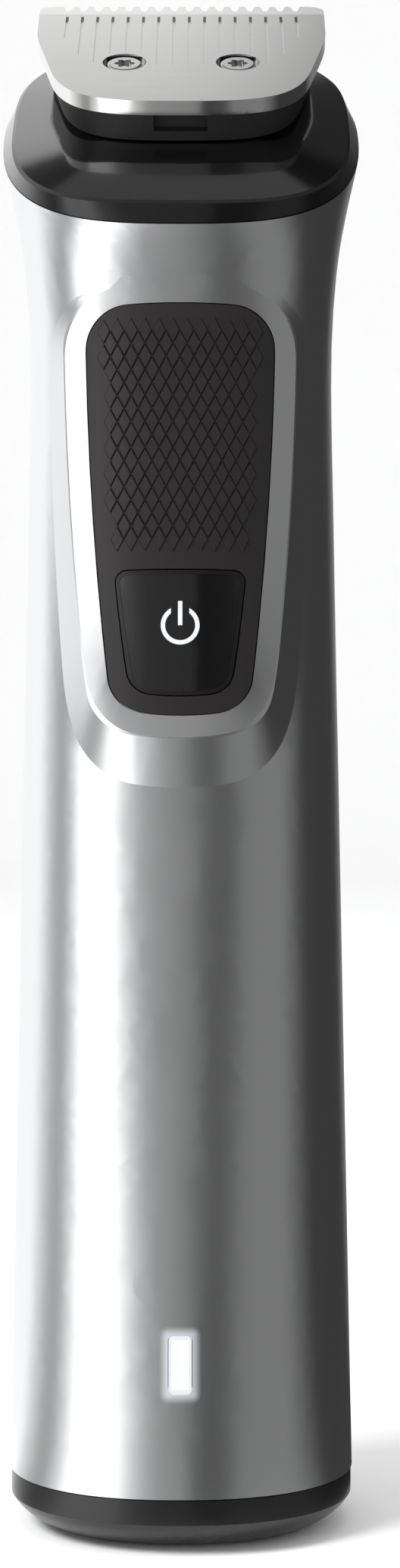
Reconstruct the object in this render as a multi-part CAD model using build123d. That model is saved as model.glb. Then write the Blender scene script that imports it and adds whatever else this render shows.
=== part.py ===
from build123d import *
import math
import os

# A cordless beard trimmer that stands on its base, built as it comes apart on a bench.
# Units are millimetres. Z runs up the handle's axis from the table, the button side faces -Y, and the
# cutting head sits on the handle's slanted top: it leans forward, so its teeth point up and back.
# Pieces of the head are drawn flat in "head" coordinates (across, back, out) and moved onto that slant.

# ---- handle, outside
handle_height = 150.6    # where the slanted seam crosses the handle's axis
base_height = 6.1        # table to the seam of the base cap
foot_half_width, foot_front, foot_back = 18.62, 16.3, 16.3
waist_half_width, waist_front, waist_back = 16.4, 15.0, 14.2
neck_half_width, neck_front, neck_back = 16.72, 14.98, 14.6
throat_half_width, throat_front, throat_back = 17.9, 15.9, 15.9
shoulder_half_width, shoulder_front, shoulder_back = 19.35, 17.3, 17.85
waist_drop, neck_drop, throat_drop = 30.6, 17.1, 8.0   # below the seam, along the axis
neck_tilt, throat_tilt, head_tilt = 13.0, 26.0, 37.0   # degrees the outline leans forward there
straight_rings = 7       # outlines between foot and waist
foot_power = 2.2         # superellipse power of the outline at the foot, the same all round
oval_power, oval_skew = 2.45, 0.45   # power at the shoulder's sides, and how it grows to the front
oval_points = 40
wall = 1.6
clearance = 0.12         # between parts that plug together
shadow_gap, shadow_depth = 0.15, 0.35   # fine line where outside parts meet

# ---- raised pad, grip panel and button, measured down from the seam on the axis
pad_top_drop, pad_bottom_drop = 18.0, 65.8
pad_rise, pad_top_rise = 2.0, 0.35
pad_land = 0.15          # flat line between the rim and the step
step_side, step_down = 2.4, 5.15   # width of the sloped step beside the pad's foot and under it
panel_top_drop, panel_bottom_drop = 20.6, 63.6
panel_half_top, panel_half_bottom = 9.95, 7.2
panel_thickness, panel_recess = 1.4, 0.5
panel_seat = 1.5         # shell left behind the panel
rim_width = 2.2          # sloped rim round the panel
button_top_drop, button_bottom_drop = 48.35, 61.6
button_half_top, button_half_bottom = 6.9, 5.3
button_sink, button_travel, button_thickness, button_edge = 0.15, 0.4, 1.4, 0.55
flange_width, flange_thickness, flange_gap = 0.9, 0.8, 0.15
icon_drop, icon_radius, icon_stroke, icon_bar = 54.2, 1.78, 0.45, 2.5

# ---- charge light
light_height, light_width, light_length = 20.0, 2.4, 6.0

# ---- base cap
base_crease, base_floor, base_wall = 3.4, 2.4, 3.2   # the cap's upright band starts at the crease
base_bowl = ((1.0, 0.0), (0.72, 0.13), (0.44, 0.33), (0.18, 0.62), (0.0, 1.0))   # height and inset shares
base_inset = 5.4
lip_height, lip_thickness = 3.9, 1.3

# ---- collar
band_height, band_inset = 2.0, 1.2
deck_height, deck_inset = 3.3, 11.0
band_corners, deck_corners = 0.6, 3.0   # how much squarer the outline gets at the crease and the deck
lip_depth = 3.0
socket_floor, socket_floor_thickness = 0.2, 1.7
seal_inner, seal_outer = 1.6, 3.4

# ---- cutting head, in head coordinates
blade_top, blade_thickness = 8.04, 1.6
blade_half_width, blade_tip, blade_corner = 16.05, 19.3, 1.9
blade_outline = ((15.95, 10.2), (15.45, 6.46), (14.25, 0.58), (12.75, -4.42), (10.8, -6.91), (8.0, -8.28))
blade_front = -8.97
tooth_pitch, tooth_gaps = 1.71, 16
tooth_depth, tooth_gap_mouth, tooth_gap_root = 2.0, 1.3, 0.55
ridge_back, ridge_angle = 15.98, 6.0
groove_width, groove_depth, groove_back = 0.32, 0.32, 15.2
groove_fronts = (1.07, 1.07, 4.35, 4.35, 4.35, 1.5, 4.0, 8.95)   # from the middle groove outwards
screw_spacing, screw_back = 12.25, 1.76
screw_head, screw_seat, screw_shaft, screw_seat_depth, screw_length = 1.96, 2.36, 0.95, 0.95, 3.0
holder_bottom, holder_top_inset, holder_back = 3.5, 0.25, 13.5
holder_side_inset, holder_front_inset = 1.25, 0.35
holder_floor, post_radius = 0.8, 2.0
notch_width, notch_height, notch_depth = 5.7, 1.9, 1.2
plug_half, plug_front, plug_back, plug_wall, plug_bottom = 10.0, -4.0, 10.5, 1.2, 0.6
cutter_thickness, cutter_half_width, cutter_tip, cutter_root = 0.5, 14.0, 18.0, 5.5
carrier_half_width, carrier_front, carrier_back, carrier_bottom = 3.0, -0.6, 7.8, 3.3
cutter_stroke = 0.6      # each way from the middle
running_gap = 0.04

# ---- drive
motor_drop = 13.6        # seam on the axis down to the motor's front plate
can_radius, can_half_depth, can_length, end_cap_length = 10.05, 7.55, 25.5, 5.0
can_wall, motor_boss_radius, motor_boss_height, shaft_radius = 0.8, 3.0, 1.5, 1.0
cam_radius, cam_height, cam_drop = 2.4, 3.8, 5.5
drive_pin_radius, drive_pin_throw, drive_pin_rise = 0.5, 0.6, 6.6

# ---- power and chassis
battery_radius, battery_length, battery_drop, battery_back = 7.1, 50.0, 8.0, 0.4
tab_thickness, tab_half_width, cushion_thickness = 0.3, 2.0, 0.5
board_face, board_thickness, board_half_width = -9.8, 1.0, 9.8
chassis_bottom, chassis_half_width, chassis_back, chassis_plate = 12.0, 10.0, 9.0, 1.2
shelf_height, bulkhead_height = 2.8, 2.0
inlet_half_width, inlet_half_depth, inlet_depth = 4.3, 2.8, 8.6
inlet_wall, contact_radius, contact_spacing, contact_length = 1.0, 0.55, 4.4, 9.0

# ---- places that follow from the sizes above
big = 400.0
seam_z = handle_height
blade_base = blade_top - blade_thickness
motor_front = seam_z - motor_drop
motor_back = motor_front - can_length
motor_bottom = motor_back - end_cap_length
battery_top = motor_bottom - battery_drop
battery_bottom = battery_top - battery_length
upper_shelf = battery_top + tab_thickness + cushion_thickness
lower_shelf = battery_bottom - tab_thickness - shelf_height
board_back = board_face + board_thickness
button_middle = seam_z - (button_top_drop + button_bottom_drop) / 2
icon_z = seam_z - icon_drop
board_top = upper_shelf + shelf_height + 1.5
board_bottom = light_height - 6.0
cam_top = seam_z - cam_drop
pin_top = seam_z + drive_pin_rise


# ---------------------------------------------------------------- drawing helpers
def tilted(z, degrees):
    """A plane across the handle's axis at height z, leaning forward; its local Y runs to the back."""
    t = math.radians(degrees)
    return Plane(origin=(0, 0, z), x_dir=(1, 0, 0), z_dir=(0, -math.sin(t), math.cos(t)))


head = tilted(seam_z, head_tilt)


def oval(plane, half_width, front, back, share=1.0, corners=0.0):
    """A closed superellipse: round at the foot (share 0), squarer in front at the shoulder (share 1)."""
    points = []
    base = foot_power + share * (oval_power - foot_power) + corners
    for i in range(oval_points):
        a = math.pi / 2 + 2 * math.pi * i / oval_points
        c, s = math.cos(a), math.sin(a)
        power = 2 / (base - share * oval_skew * s)
        reach = back if s > 0 else front
        x = half_width * math.copysign(abs(c) ** power, c)
        y = reach * math.copysign(abs(s) ** power, s)
        points.append(plane.from_local_coords(Vector(x, y, 0)))
    return Wire([Edge.make_spline(points, periodic=True)])


def body_ring(z, tilt, half_width, front, back, inset=0.0, forward=0.0):
    """The handle's outline at one height; front and back are horizontal reaches."""
    lean = math.cos(math.radians(tilt))
    share = min(1.0, max(0.0, (z - base_height) / (seam_z - base_height)))
    return oval(tilted(z, tilt), half_width - inset,
                (front - inset + forward) / lean, (back - inset) / lean, share)


def handle_size(z):
    """Half width, front and back of the straight part of the handle, tapering from foot to waist."""
    share = (z - base_height) / (seam_z - waist_drop - base_height)
    foot = (foot_half_width, foot_front, foot_back)
    waist = (waist_half_width, waist_front, waist_back)
    return [f + share * (w - f) for f, w in zip(foot, waist)]


def handle_loft(inset=0.0, overrun=0.0):
    """The handle from foot to slanted seam, drawn in by inset and run past both ends by overrun."""
    waist_z = seam_z - waist_drop
    rings = []
    for i in range(straight_rings + 1):
        z = base_height + (waist_z - base_height) * i / straight_rings
        reach = overrun if i == 0 else 0.0
        rings.append(body_ring(z - reach, 0.0, *handle_size(z), inset=inset))
    rings.append(body_ring(seam_z - neck_drop, neck_tilt, neck_half_width, neck_front, neck_back, inset))
    rings.append(body_ring(seam_z - throat_drop, throat_tilt, throat_half_width, throat_front,
                           throat_back, inset))
    rings.append(body_ring(seam_z + overrun, head_tilt, shoulder_half_width, shoulder_front,
                           shoulder_back, inset))
    return Solid.make_loft(rings)


def pad_reach(z):
    """How far the pad stands proud of the handle at a height: most at its bottom."""
    low, high = seam_z - pad_bottom_drop, seam_z - pad_top_drop
    share = (z - low) / (high - low)
    return pad_rise + share * (pad_top_rise - pad_rise)


def pad_loft(inset=0.0):
    """The oval column whose front is the pad's face."""
    low, high = seam_z - pad_bottom_drop - 12.0, seam_z - pad_top_drop + 5.0
    rings = []
    for share in (0.0, 0.5, 1.0):
        z = low + share * (high - low)
        rings.append(body_ring(z, 0.0, *handle_size(z), inset=inset, forward=pad_reach(z)))
    return Solid.make_loft(rings)


def shield(y, top, bottom, half_top, half_bottom, top_sag, bottom_sag, bulge, r_top, r_bottom):
    """A tapered badge outline in an upright plane at y: arched ends, bowed sides, round corners."""
    corner_top, corner_bottom = top - top_sag, bottom + bottom_sag
    middle = (corner_top + corner_bottom) / 2
    side = (half_top + half_bottom) / 2 + bulge
    place = Plane(origin=(0, y, 0), x_dir=(1, 0, 0), z_dir=(0, -1, 0))
    edges = [
        ThreePointArc((-half_top, corner_top), (0, top), (half_top, corner_top)),
        ThreePointArc((half_top, corner_top), (side, middle), (half_bottom, corner_bottom)),
        ThreePointArc((half_bottom, corner_bottom), (0, bottom), (-half_bottom, corner_bottom)),
        ThreePointArc((-half_bottom, corner_bottom), (-side, middle), (-half_top, corner_top)),
    ]
    flat = make_face(edges)
    flat = fillet(flat.vertices().sort_by(Axis.Y)[-2:], r_top)
    flat = fillet(flat.vertices().sort_by(Axis.Y)[:2], r_bottom)
    return place * flat


def panel_outline(y, grow=0.0):
    return shield(y, seam_z - panel_top_drop + grow, seam_z - panel_bottom_drop - grow,
                  panel_half_top + grow, panel_half_bottom + grow, 0.6, 0.9, 0.62,
                  4.6 + grow, 4.2 + grow)


def button_outline(y, grow=0.0):
    return shield(y, seam_z - button_top_drop + grow, seam_z - button_bottom_drop - grow,
                  button_half_top + grow, button_half_bottom + grow, 0.15, 0.5, 0.12,
                  1.3 + grow, 2.8 + grow)


def forward_prism(outline, near, far, grow=0.0):
    """An upright outline drawn at y = near and stretched forward to y = far."""
    return extrude(outline(near, grow), amount=near - far, dir=(0, -1, 0))


def slab(low, high):
    """Everything between two heights of the head's slanted frame."""
    return head * Pos(0, 0, (low + high) / 2) * Box(big, big, high - low)


def block(x0, x1, y0, y1, z0, z1):
    return Pos((x0 + x1) / 2, (y0 + y1) / 2, (z0 + z1) / 2) * Box(x1 - x0, y1 - y0, z1 - z0)


def rounded_block(x0, x1, y0, y1, z0, z1, radius):
    solid = block(x0, x1, y0, y1, z0, z1)
    return fillet(solid.edges().filter_by(Axis.Z), radius)


def pillar(radius, z0, z1, x=0.0, y=0.0):
    return Pos(x, y, (z0 + z1) / 2) * Cylinder(radius, z1 - z0)


def peg(radius, y0, y1, x, z):
    """A cylinder along Y."""
    return Pos(x, (y0 + y1) / 2, z) * Rot(90, 0, 0) * Cylinder(radius, y1 - y0)


def wire_run(points, radius):
    """A round wire through points, with round elbows."""
    run = Pos(*points[0]) * Sphere(radius)
    for a, b in zip(points, points[1:]):
        path = Edge.make_line(a, b)
        run += extrude(Plane(path @ 0, z_dir=path % 0) * Circle(radius), amount=path.length)
        run += Pos(*b) * Sphere(radius)
    return run


def mirrored(shape):
    return shape + mirror(shape, about=Plane.YZ)


def single(shape):
    """The one big solid of a cut or a union."""
    return shape.solids().sort_by(SortBy.VOLUME)[-1]


# ---------------------------------------------------------------- handle shells
def face_at(solid, x, z):
    """The forward-most y of a solid on a line through x and z."""
    inside = solid & Edge.make_line((x, -60, z), (x, 0, z))
    return min(v.Y for v in inside.vertices())


def pushed(push, points=90):
    """(x, z) pairs round the grip panel, each moved outwards by push(height, how far it faces down)."""
    wire = panel_outline(0).wire()
    raw = [(wire @ (i / points), wire % (i / points)) for i in range(points)]
    turn = sum(a.X * b.Z - b.X * a.Z for (a, _), (b, _) in zip(raw, raw[1:] + raw[:1]))
    way = math.copysign(1.0, turn)
    spots = []
    for spot, run in raw:
        amount = push(spot.Z, way * run.X)
        spots.append((spot.X + amount * way * run.Z, spot.Z - amount * way * run.X))
    return spots


def on_face(solid, spots, sink=0.0):
    return [(x, face_at(solid, x, z) + sink, z) for x, z in spots]


def level(spots, y):
    return [(x, y, z) for x, _, z in spots]


def ruled_column(loops):
    """A closed column through loops of points."""
    return Solid.make_loft([Wire([Edge.make_spline(loop, periodic=True)]) for loop in loops], ruled=True)


def step_reach(z, down):
    """How far the step's foot lies outside its crest: most under the pad, least near its top."""
    fade = math.sqrt(min(1.0, pad_reach(z) / pad_rise))
    return (step_side + (step_down - step_side) * max(0.0, down) ** 2.6) * fade


def pad_step_wall(pad, past=0.35):
    """The column whose sloped sides are the step round the pad, run past its crest and its foot."""
    edge = rim_width + pad_land
    crest = on_face(pad, pushed(lambda z, down: edge))
    foot = on_face(handle_loft(), pushed(lambda z, down: edge + step_reach(z, down)))
    outer = [tuple(f + past * (f - c) for f, c in zip(*pair)) for pair in zip(foot, crest)]
    inner = [tuple(c + past * (c - f) for f, c in zip(*pair)) for pair in zip(foot, crest)]
    return ruled_column([level(outer, -5.0), outer, inner, level(inner, -26.0)])


def rim_funnel(pad):
    """The grip panel's pocket, flared at its mouth into the sloped rim."""
    flare = 0.25
    base = pushed(lambda z, down: 0.0)
    root = on_face(pad, base, panel_recess)
    edge = on_face(pad, pushed(lambda z, down: rim_width))
    mouth = [tuple(e + flare * (e - r) for e, r in zip(*pair)) for pair in zip(edge, root)]
    return ruled_column([level(root, -9.0), root, mouth, level(mouth, -26.0)])


def light_slot(grow, y0, y1):
    slot = block(-light_width / 2 - grow, light_width / 2 + grow, y0, y1,
                 light_height - light_length / 2 - grow, light_height + light_length / 2 + grow)
    return fillet(slot.edges().filter_by(Axis.Y), 0.6 + grow)


def screw_post_heights():
    """Heights of the two posts that carry the chassis: below the lower shelf, above the upper one."""
    return (chassis_bottom + lower_shelf) / 2, upper_shelf + shelf_height + 2.1


def make_shells():
    pad = pad_loft()
    body = single(handle_loft() + (pad & pad_step_wall(pad)))
    body = single(body - light_slot(0.08, -25.0, -6.0))
    pocket = rim_funnel(pad) - pad_loft(panel_recess + panel_thickness)
    room = handle_loft(inset=wall, overrun=2.0)
    thick = forward_prism(panel_outline, -6.0, -25.0, 1.5)
    thick -= pad_loft(panel_recess + panel_thickness + panel_seat)
    body = body - pocket - (room - thick)
    body -= forward_prism(button_outline, -6.0, -25.0)
    front = single(body & block(-big, big, -big, 0, -1, big))
    rear = single(body & block(-big, big, 0, big, -1, big))
    skin = handle_loft(inset=wall / 2)
    for z in screw_post_heights():
        post = peg(2.4, chassis_back, 25.0, 0, z) & skin
        rear = single(rear + post - peg(0.9, chassis_back - 1, chassis_back + 3.6, 0, z))
    return front, rear


def make_grip_panel():
    panel = forward_prism(panel_outline, -8.0, -25.0, -clearance)
    panel = (panel & pad_loft(panel_recess)) - pad_loft(panel_recess + panel_thickness - 0.02)
    return single(panel - forward_prism(button_outline, -6.0, -25.0))


def make_light_window():
    return single(light_slot(0.0, -25.0, -11.2) & handle_loft(inset=0.04))


# ---------------------------------------------------------------- power button
def make_button():
    face = panel_recess + button_sink
    seat = panel_recess + panel_thickness + panel_seat + flange_gap
    cap = forward_prism(button_outline, -6.0, -25.0, -clearance) & pad_loft(face)
    cap -= pad_loft(seat + flange_thickness / 2)
    flange = forward_prism(button_outline, -6.0, -25.0, flange_width) & pad_loft(seat)
    flange -= pad_loft(seat + flange_thickness)
    stem = peg(1.8, -14.0, board_face - 2.1, 0, button_middle)
    window = forward_prism(button_outline, -6.0, -25.0, -button_edge) & pad_loft(face + 0.08)
    recess = forward_prism(button_outline, -6.0, -25.0, -button_edge + 0.01) - pad_loft(face + 0.45)
    window -= pad_loft(face + 0.45)
    cap = single(cap + flange + stem - recess)
    icon = icon_prism() & (pad_loft(face + 0.06) - pad_loft(face + 0.3))
    window = single(window - icon_prism())
    return cap, window, icon


def icon_prism():
    """The power sign: a ring open at the top with a bar through the opening."""
    ring = peg(icon_radius + icon_stroke / 2, -25.0, -8.0, 0, icon_z)
    ring -= peg(icon_radius - icon_stroke / 2, -26.0, -7.0, 0, icon_z)
    ring -= block(-0.95, 0.95, -26.0, -7.0, icon_z, icon_z + 4)
    bar = block(-icon_stroke / 2, icon_stroke / 2, -25.0, -8.0, icon_z, icon_z + icon_bar)
    return ring + bar


# ---------------------------------------------------------------- base cap and charging socket
def foot_ring(z, inset):
    """The foot's outline at a height in the base cap."""
    return oval(Plane.XY.offset(z), foot_half_width - inset, foot_front - inset, foot_back - inset, 0.0)


def make_base_cap():
    bowl = [foot_ring(base_crease * high, 0.12 + base_inset * inset) for high, inset in base_bowl]
    cap = Solid.make_loft(bowl)
    cap += extrude(make_face(foot_ring(base_crease, 0.12)), amount=base_height - shadow_gap - base_crease)
    cap += extrude(make_face(foot_ring(base_height - 1, shadow_depth)), amount=1.0)
    cap -= extrude(make_face(foot_ring(base_floor, base_wall)), amount=base_height)
    lip = handle_loft(inset=wall + clearance, overrun=2.0)
    lip -= handle_loft(inset=wall + clearance + lip_thickness, overrun=3.0)
    lip &= block(-big, big, -big, big, base_height - 1.0, base_height + lip_height)
    cap += lip
    wall_x = inlet_half_width + inlet_wall + 0.02
    wall_y = inlet_half_depth + inlet_wall + 0.02
    cap += rounded_block(-wall_x - 1.2, wall_x + 1.2, -wall_y - 1.2, wall_y + 1.2, base_floor / 2,
                         base_height, 2.4)
    cap -= rounded_block(-wall_x, wall_x, -wall_y, wall_y, -1.0, base_height + 1, 2.0)
    return single(cap)


def make_charging_socket():
    x, y = inlet_half_width, inlet_half_depth
    body = rounded_block(-x - inlet_wall, x + inlet_wall, -y - inlet_wall, y + inlet_wall, 0.25,
                         inlet_depth + 1.6, 2.0)
    body += rounded_block(-x - 2.4, x + 2.4, -y - 2.4, y + 2.4, base_height, inlet_depth + 1.6, 2.4)
    body -= rounded_block(-x, x, -y, y, -1.0, inlet_depth, 1.2)
    for side in (-1, 1):
        body -= pillar(contact_radius, 0, 20, side * contact_spacing / 2)
    return single(body)


def make_contacts():
    low = inlet_depth - 4.0
    pins = [pillar(contact_radius, low, low + contact_length, side * contact_spacing / 2) for side in (-1, 1)]
    return Compound(pins)


# ---------------------------------------------------------------- collar
def collar_ring(height, inset, corners=0.0):
    place = Plane(head.from_local_coords(Vector(0, 0, height)), x_dir=(1, 0, 0), z_dir=head.z_dir)
    lean = math.cos(math.radians(head_tilt))
    return oval(place, shoulder_half_width - inset, shoulder_front / lean - inset,
                shoulder_back / lean - inset, 1.0, corners)


def make_collar():
    edge = 0.22
    rings = [
        collar_ring(shadow_gap, 0.0),
        collar_ring(band_height - edge, band_inset - edge / 2, band_corners),
        collar_ring(band_height, band_inset + edge, band_corners),
        collar_ring(deck_height, deck_inset, deck_corners),
    ]
    collar = Solid.make_loft(rings, ruled=True)
    collar += Solid.make_loft([collar_ring(0.0, shadow_depth), collar_ring(0.5, shadow_depth)], ruled=True)
    plug = handle_loft(inset=wall + clearance, overrun=3.0)
    collar += plug & slab(-socket_floor_thickness + socket_floor, 0.3)
    collar += (plug - handle_loft(inset=wall + clearance + lip_thickness, overrun=4.0)) & slab(-lip_depth, 0.3)
    gap = clearance
    box = (plug_half + gap, plug_front - gap, plug_back + gap)
    core = handle_loft(inset=wall + clearance + 2.2, overrun=4.0) & slab(-4.0, 1.0)
    keep = head * rounded_block(-box[0] - 1.6, box[0] + 1.6, box[1] - 1.6, box[2] + 1.6, -3.0, 3.0, 2.5)
    collar -= core - keep
    collar -= head * rounded_block(-box[0], box[0], box[1], box[2], socket_floor, 8.0, 1.5 + gap)
    collar -= pillar(seal_outer, seam_z - 12, seam_z + 12)
    return single(collar)


def make_drive_seal():
    low = socket_floor - socket_floor_thickness
    seal = pillar(seal_outer, seam_z - 12, seam_z + 12) & slab(low, socket_floor)
    return single(seal - pillar(seal_inner, seam_z - 12, seam_z + 12))


# ---------------------------------------------------------------- cutting head, in head coordinates
def blade_plan(inset=0.0, front_inset=None):
    """The guard blade's outline: straight teeth edge at the back, rounded shovel at the front."""
    back = blade_tip - inset
    wide, pivot = blade_outline[0]
    across = 1 - inset / wide
    along = 1 - (inset if front_inset is None else front_inset) / (pivot - blade_front)
    right = [(x * across, pivot + (y - pivot) * along) for x, y in blade_outline]
    left = [(-x, y) for x, y in reversed(right)]
    nose = (0, pivot + (blade_front - pivot) * along)
    curve = Spline(*right, nose, *left, tangents=[(-0.06, -1), (-0.06, 1)])
    start, end = curve @ 0, curve @ 1
    side = blade_half_width - inset
    lines = [
        Line(end, (-side, back)),
        Line((-side, back), (side, back)),
        Line((side, back), start),
    ]
    return make_face([curve] + lines)


def tooth_gap(x):
    """One gap between teeth: wide at the mouth, round at the root."""
    root = blade_tip - tooth_depth + tooth_gap_root / 2
    mouth, narrow = tooth_gap_mouth / 2, tooth_gap_root / 2
    flat = make_face(Polyline((x - narrow, root), (x - mouth, blade_tip + 0.5), (x + mouth, blade_tip + 0.5),
                              (x + narrow, root), close=True))
    cut = Pos(0, 0, blade_base - 1) * extrude(flat, amount=4)
    return cut + pillar(narrow, blade_base - 1, blade_top + 1, x, root)


def make_guard_blade():
    plate = Pos(0, 0, blade_base) * extrude(blade_plan(), amount=blade_thickness)
    corners = plate.edges().filter_by(Axis.Z).sort_by(Axis.Y)[-2:]
    plate = fillet(corners, blade_corner)
    slope = math.tan(math.radians(ridge_angle))
    reach = 6.0
    wedge = make_face(Polyline((ridge_back, blade_top), (ridge_back + reach, blade_top - reach * slope),
                               (ridge_back + reach, blade_top + 2), (ridge_back, blade_top + 2), close=True))
    wedge = Plane(origin=(-20, 0, 0), x_dir=(0, 1, 0), z_dir=(1, 0, 0)) * wedge
    plate -= extrude(wedge, amount=40)
    ceiling = blade_base + cutter_thickness + 0.06 + running_gap
    side = cutter_half_width + cutter_stroke + 0.4
    plate -= block(-side, side, cutter_root - 0.6, blade_tip + 2, blade_base - 1, ceiling)
    neck = carrier_half_width + cutter_stroke + 0.1
    plate -= block(-neck, neck, carrier_front - 0.4, cutter_root, blade_base - 1, ceiling)
    for i in range(tooth_gaps // 2):
        x = (i + 0.5) * tooth_pitch
        half = groove_width / 2
        for s in (-1, 1):
            plate -= tooth_gap(s * x)
            plate -= block(s * x - half, s * x + half, groove_fronts[i], groove_back,
                           blade_top - groove_depth, blade_top + 1)
    for s in (-1, 1):
        plate -= pillar(screw_seat, blade_top - screw_seat_depth, blade_top + 1, s * screw_spacing / 2, screw_back)
        plate -= pillar(screw_shaft + 0.1, blade_base - 1, blade_top + 1, s * screw_spacing / 2, screw_back)
    return head * single(plate)


def make_blade_screws():
    screws = []
    low = blade_top - screw_seat_depth
    for s in (-1, 1):
        x = s * screw_spacing / 2
        top = pillar(screw_head, low, blade_top - 0.12, x, screw_back)
        top = fillet(top.edges().sort_by(Axis.Z)[-1], 0.3)
        socket = pillar(0.8, blade_top - 0.65, blade_top, x, screw_back)
        for i in range(6):
            a = math.pi * i / 3
            socket += pillar(0.3, blade_top - 0.65, blade_top, x + 0.82 * math.cos(a),
                             screw_back + 0.82 * math.sin(a))
        screw = top + pillar(screw_shaft, low - screw_length, low, x, screw_back) - socket
        screws.append(head * single(screw))
    return Compound(screws)


def make_head_holder():
    top = Pos(0, 0, blade_base) * blade_plan(holder_top_inset)
    bottom = Pos(0, 0, holder_bottom) * blade_plan(holder_side_inset, holder_front_inset)
    body = Solid.make_loft([top.face().outer_wire(), bottom.face().outer_wire()], ruled=True)
    body = body & block(-30, 30, -30, holder_back, 0, 10)
    back = holder_back - 4.0
    body -= rounded_block(-9.2, 9.2, plug_front - 0.2, back, holder_bottom + holder_floor, 10, 1.0)
    body += block(-9.2, 9.2, plug_front - 0.2, plug_front + 1.4, holder_bottom + 0.4, blade_base - 0.74)
    plug = rounded_block(-plug_half, plug_half, plug_front, plug_back, plug_bottom, holder_bottom + 0.4, 1.5)
    plug -= rounded_block(-plug_half + plug_wall, plug_half - plug_wall, plug_front + plug_wall,
                          plug_back - plug_wall, 0, holder_bottom, 0.8)
    body += plug
    neck = carrier_half_width + cutter_stroke + 0.3
    body -= block(-neck, neck, carrier_front - 0.5, carrier_back + 0.5, 0, 6)
    for s in (-1, 1):
        x = s * screw_spacing / 2
        body += pillar(post_radius, holder_bottom + 0.2, blade_base, x, screw_back)
        body -= pillar(screw_shaft, blade_top - screw_seat_depth - screw_length, blade_top, x, screw_back)
    body -= block(-notch_width / 2, notch_width / 2, -20, blade_front + holder_top_inset + notch_depth,
                  blade_base - notch_height, blade_base + 1)
    return head * single(body)


def make_pressure_spring():
    """A flat bent wire that presses the cutter up against the guard."""
    r = 0.33
    z = blade_base - 0.74 + r
    front, back, side = plug_front + 0.75, carrier_back + 1.0, 8.62
    run = wire_run([(-3.4, front, z), (-side, front, z), (-side, back, z), (side, back, z),
                    (side, front, z), (3.4, front, z)], r)
    return head * single(run)


def make_cutter_blade():
    low = blade_base + 0.06
    high = low + cutter_thickness
    plate = block(-cutter_half_width, cutter_half_width, cutter_root, cutter_tip - 1.6, low, high)
    plate += block(-carrier_half_width, carrier_half_width, carrier_front, cutter_root, low, high)
    count = int(2 * cutter_half_width / tooth_pitch)
    for i in range(count):
        x = (i - (count - 1) / 2) * tooth_pitch
        tooth = make_face(Polyline((x - 0.55, cutter_tip - 1.7), (x - 0.3, cutter_tip), (x + 0.3, cutter_tip),
                                   (x + 0.55, cutter_tip - 1.7), close=True))
        plate += Pos(0, 0, low) * extrude(tooth, amount=cutter_thickness)
    plate -= rounded_block(-9.0, -4.5, 8.0, 12.5, low - 1, high + 1, 1.0)
    plate -= rounded_block(4.5, 9.0, 8.0, 12.5, low - 1, high + 1, 1.0)
    return head * single(plate)


def make_cutter_carrier():
    top = blade_base + 0.06
    body = rounded_block(-carrier_half_width, carrier_half_width, carrier_front, carrier_back,
                         carrier_bottom, top, 0.6)
    half = cutter_stroke + drive_pin_throw + drive_pin_radius + 0.12
    body -= rounded_block(-half, half, 0.6, 6.2, 0, top - 0.7, 0.5)
    return head * single(body)


# ---------------------------------------------------------------- motor and drive
def can_section(inset, z0, z1):
    drum = pillar(can_radius - inset, z0, z1)
    return drum & block(-big, big, -can_half_depth + inset, can_half_depth - inset, z0 - 1, z1 + 1)


def make_motor_can():
    can = can_section(0, motor_back, motor_front)
    can -= can_section(can_wall, motor_back - 1, motor_front - can_wall)
    can += pillar(motor_boss_radius, motor_front - 0.4, motor_front + motor_boss_height)
    can -= pillar(2.2, motor_front - 5, motor_front + 5)
    for x in (-5, 5):
        can -= pillar(0.7, motor_front - 5, motor_front + 5, x)
    return single(can)


def make_end_cap():
    cap = can_section(0, motor_bottom, motor_back) - can_section(1.2, motor_bottom + 1.4, motor_back + 1)
    cap += pillar(3.2, motor_bottom + 0.5, motor_bottom + 2.6)
    cap -= pillar(2.0, motor_bottom + 0.6, motor_back + 1)
    for x in (-6, 6):
        cap -= block(x - 0.35, x + 0.35, -1.5, 1.5, motor_bottom - 1, motor_bottom + 3)
    return single(cap)


def make_terminals():
    tags = [block(x - 0.35, x + 0.35, -1.5, 1.5, motor_bottom - 1.8, motor_bottom + 3.0) for x in (-6, 6)]
    return Compound(tags)


def make_magnets():
    ring = can_section(can_wall, motor_back + 1.5, motor_front - 3.0) - pillar(6.3, 0, big)
    return Compound([ring & block(3.0 * s if s > 0 else -20, 20 if s > 0 else 3.0 * s, -20, 20, 0, big)
                     for s in (-1, 1)])


def make_bearings():
    front = pillar(2.2, motor_front - 0.8, motor_front + motor_boss_height) - pillar(shaft_radius + 0.03, 0, big)
    rear = pillar(2.0, motor_bottom + 0.6, motor_bottom + 2.6) - pillar(shaft_radius + 0.03, 0, big)
    return Compound([single(front), single(rear)])


def make_armature():
    core = pillar(5.6, motor_back + 2.5, motor_front - 4.0)
    for i in range(3):
        core -= Rot(0, 0, 120 * i) * block(-0.6, 0.6, 3.2, 7.0, 0, big)
    return single(core - pillar(shaft_radius, 0, big))


def make_windings():
    coils = []
    for z0, z1 in ((motor_back + 0.9, motor_back + 2.5), (motor_front - 4.0, motor_front - 2.4)):
        coils.append(single(pillar(4.4, z0, z1) - pillar(shaft_radius, 0, big)))
    return Compound(coils)


def make_commutator():
    drum = pillar(2.3, motor_bottom + 2.9, motor_back + 0.9) - pillar(shaft_radius, 0, big)
    for i in range(3):
        drum -= Rot(0, 0, 120 * i + 60) * block(-0.12, 0.12, 2.0, 3.0, 0, big)
    return single(drum)


def make_shaft():
    return pillar(shaft_radius, motor_bottom + 0.8, cam_top - 1.2)


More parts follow.
